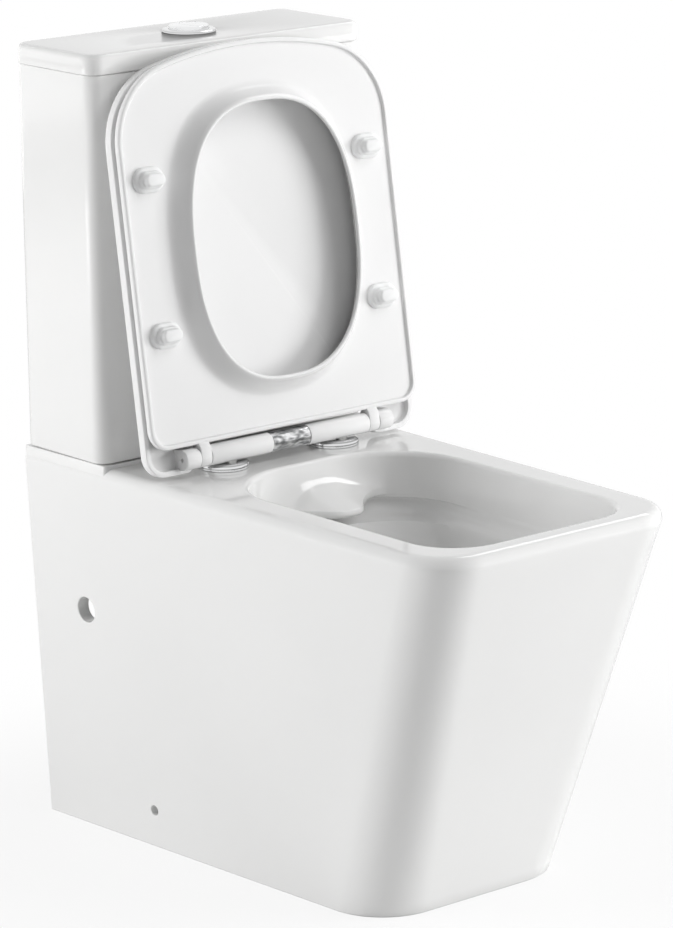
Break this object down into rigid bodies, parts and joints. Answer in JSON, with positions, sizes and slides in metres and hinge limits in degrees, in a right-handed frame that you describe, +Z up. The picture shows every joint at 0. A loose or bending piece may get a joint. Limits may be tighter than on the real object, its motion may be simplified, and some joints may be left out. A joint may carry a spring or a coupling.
{
  "type": "close-coupled toilet",
  "caption": "Back-to-wall close-coupled toilet with a skirted square pan, tank with dual flush buttons, and a soft-close seat and lid that lift off.",
  "frame": {"origin": "middle of the bounding box on the floor", "axes": "+Z up, -Y to the front of the bowl, +Y to the wall, +X to the right of someone facing the front"},
  "size_m": [0.364, 0.653, 0.8551],
  "materials": {
    "china": "gloss glaze",
    "seat_plastic": "gloss",
    "bumper_gel": "frosted",
    "chrome": "polished",
    "valve_plastic": "moulded",
    "nut_plastic": "moulded",
    "float_plastic": "moulded",
    "black_rubber": "matte",
    "steel": "zinc plated"
  },
  "bodies": {
    "pan": {"pan_rim": "china", "pan_ledge": "china", "pan_bowl": "china", "pan_skirt": "china", "pan_trap": "china", "pan_side_left": "china", "pan_side_right": "china", "tank": "china", "tank_gasket": "black_rubber", "tank_bolt_left": "steel", "tank_bolt_right": "steel", "tank_washer_left": "black_rubber", "tank_washer_right": "black_rubber", "tank_nut_left": "nut_plastic", "tank_nut_right": "nut_plastic", "flush_valve": "valve_plastic", "flush_valve_cap": "valve_plastic", "flush_valve_nut": "nut_plastic", "fill_valve": "valve_plastic", "fill_valve_washer": "black_rubber", "fill_valve_nut": "nut_plastic", "hinge_rosette_left": "chrome", "hinge_rosette_right": "chrome", "hinge_post_left": "steel", "hinge_post_right": "steel", "hinge_bush_left": "black_rubber", "hinge_bush_right": "black_rubber", "hinge_nut_left": "nut_plastic", "hinge_nut_right": "nut_plastic"},
    "tank_lid": {"tank_lid": "china", "button_bezel": "chrome", "bezel_nut": "nut_plastic"},
    "half_button": {"half_button": "chrome", "half_rod": "valve_plastic"},
    "full_button": {"full_button": "chrome", "full_rod": "valve_plastic"},
    "flush_piston": {"flush_piston": "valve_plastic", "flush_seal": "black_rubber"},
    "fill_float": {"fill_float": "float_plastic"},
    "hinge_bar": {"hinge_bar": "seat_plastic", "damper_left": "nut_plastic", "damper_right": "nut_plastic", "hinge_pin_left": "steel", "hinge_pin_right": "steel"},
    "release_button": {"release_button": "chrome"},
    "lid": {"lid": "seat_plastic", "lid_bumper_left": "bumper_gel", "lid_bumper_right": "bumper_gel"},
    "seat": {"seat": "seat_plastic", "seat_bumper_rear_left": "bumper_gel", "seat_bumper_rear_right": "bumper_gel", "seat_bumper_front_left": "bumper_gel", "seat_bumper_front_right": "bumper_gel"}
  },
  "joints": [
    {"name": "seat_lift", "type": "slide", "parent": "pan", "child": "hinge_bar", "axis": [0, 0, 1], "range_m": [0, 0.03]},
    {"name": "release_press", "type": "slide", "parent": "hinge_bar", "child": "release_button", "axis": [0, 1, 0], "range_m": [0, 0.003], "stiffness_N_per_m": 900},
    {"name": "lid_hinge", "type": "hinge", "parent": "hinge_bar", "child": "lid", "pos_m": [0, 0.1055, 0.431], "axis": [1, 0, 0], "range_deg": [0, 98.4]},
    {"name": "seat_hinge", "type": "hinge", "parent": "lid", "child": "seat", "pos_m": [0, 0.1055, 0.431], "axis": [-1, 0, 0], "range_deg": [-98.4, 0]},
    {"name": "tank_lid_lift", "type": "slide", "parent": "pan", "child": "tank_lid", "axis": [0, 0, 1], "range_m": [0, 0.12]},
    {"name": "half_flush", "type": "slide", "parent": "tank_lid", "child": "half_button", "axis": [0, 0, -1], "range_m": [0, 0.007], "stiffness_N_per_m": 600},
    {"name": "full_flush", "type": "slide", "parent": "tank_lid", "child": "full_button", "axis": [0, 0, -1], "range_m": [0, 0.007], "stiffness_N_per_m": 600},
    {"name": "piston_lift", "type": "slide", "parent": "pan", "child": "flush_piston", "axis": [0, 0, 1], "range_m": [0, 0.025]},
    {"name": "float_rise", "type": "slide", "parent": "pan", "child": "fill_float", "axis": [0, 0, 1], "range_m": [0, 0.06]}
  ],
  "couplings": [
    {"joint": "piston_lift", "follows": "full_flush", "ratio": 3.5714}
  ]
}
